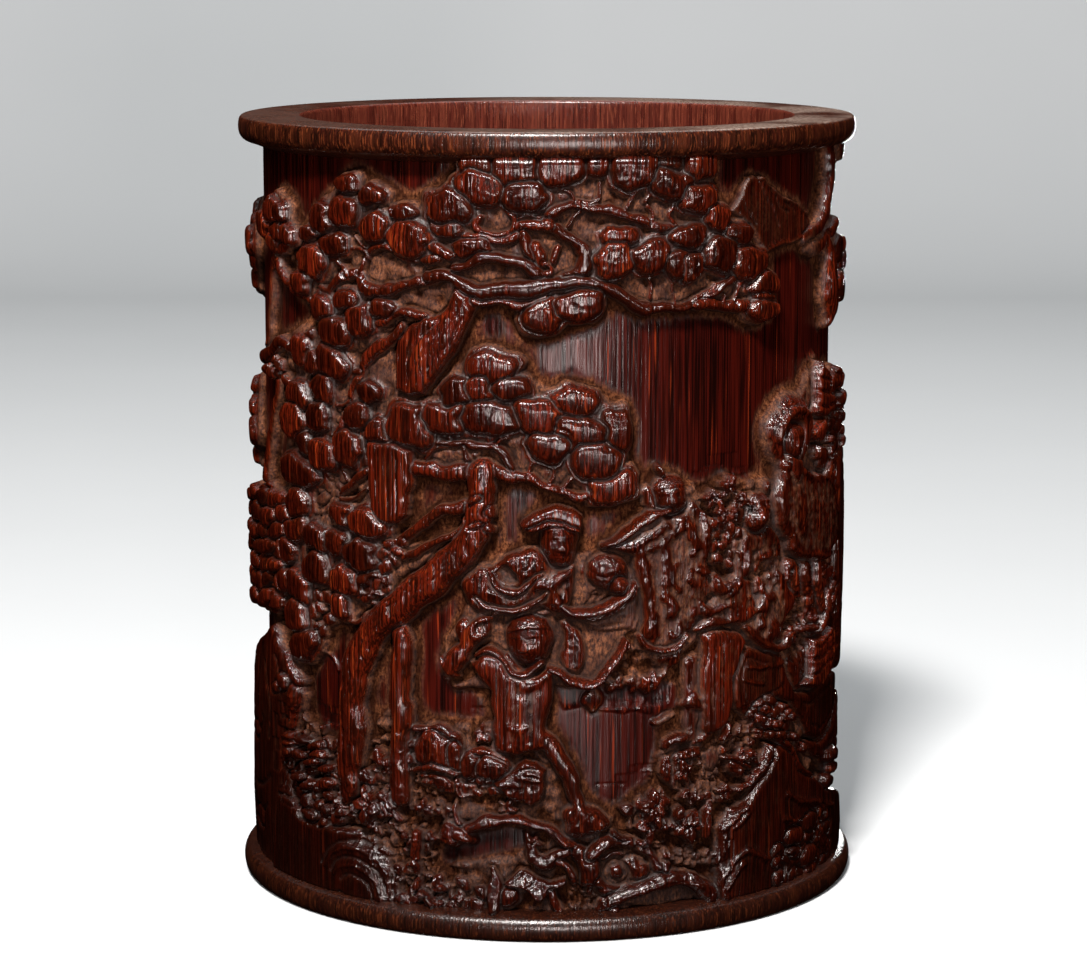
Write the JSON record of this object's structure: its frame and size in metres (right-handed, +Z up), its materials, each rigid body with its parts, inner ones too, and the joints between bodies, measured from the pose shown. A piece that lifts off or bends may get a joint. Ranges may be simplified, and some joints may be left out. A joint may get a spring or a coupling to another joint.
{
  "type": "brush pot",
  "caption": "Round hollow brush pot of bamboo with a rolled lip, a turned foot ring and a wall carved in relief with pines, rocks and scholars; holds writing brushes upright.",
  "frame": {"origin": "centre of the foot ring's underside, on the pot's axis", "axes": "+Z up along the pot's axis to the lip; the side carved with the pine crown and standing scholars faces -Y"},
  "size_m": [0.1296, 0.1296, 0.16],
  "materials": {
    "carved_bamboo": "dark red-brown stained bamboo, waxed and rubbed glossy on the high carving, matt tan in the cut-back ground",
    "turned_bamboo": "dark red-brown stained bamboo, turned and polished, upright fibres showing",
    "base_wood": "dark hardwood, oiled satin",
    "peg_bamboo": "plain split bamboo"
  },
  "bodies": {
    "root": {"culm_wall": "carved_bamboo", "mouth_rim": "turned_bamboo", "foot_ring": "turned_bamboo", "base_plate": "base_wood", "lip_pegs": "peg_bamboo", "foot_pegs": "peg_bamboo"}
  },
  "joints": []
}
